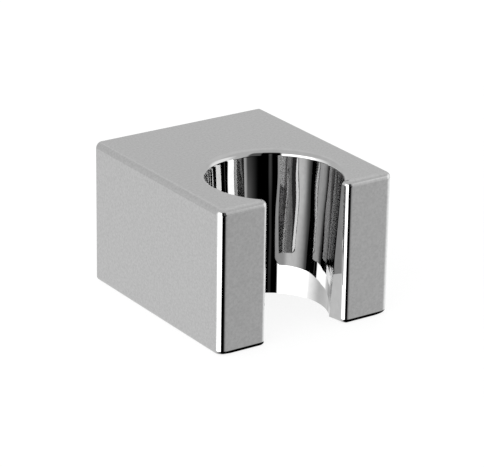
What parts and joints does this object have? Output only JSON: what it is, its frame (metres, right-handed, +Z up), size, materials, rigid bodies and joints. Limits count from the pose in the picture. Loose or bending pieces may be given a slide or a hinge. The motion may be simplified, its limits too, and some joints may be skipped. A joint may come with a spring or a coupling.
{
  "type": "hand shower wall holder",
  "caption": "Square chromed wall holder for a hand shower: a block with a tapered cradle slotted to the front, clamped over a concealed wall bracket by a grub screw.",
  "frame": {"origin": "middle of the body's wall face, on the wall's surface", "axes": "+Y into the wall, so the body stands out along -Y; +Z up, along the cradle's axis; X across, with the part mirror-symmetric about X = 0"},
  "size_m": [0.038, 0.0425, 0.0282],
  "materials": {
    "chrome": "polished",
    "bracket_metal": "satin",
    "screw_steel": "satin"
  },
  "bodies": {
    "bracket": {"wall_bracket": "bracket_metal"},
    "body": {"holder_body": "chrome"},
    "screw": {"grub_screw": "screw_steel"}
  },
  "joints": [
    {"name": "body_pull_off", "type": "slide", "parent": "bracket", "child": "body", "axis": [0, -1, 0], "range_m": [0, 0.03]},
    {"name": "grub_screw_travel", "type": "slide", "parent": "body", "child": "screw", "axis": [0, 0, 1], "range_m": [0, 0.0023]}
  ]
}
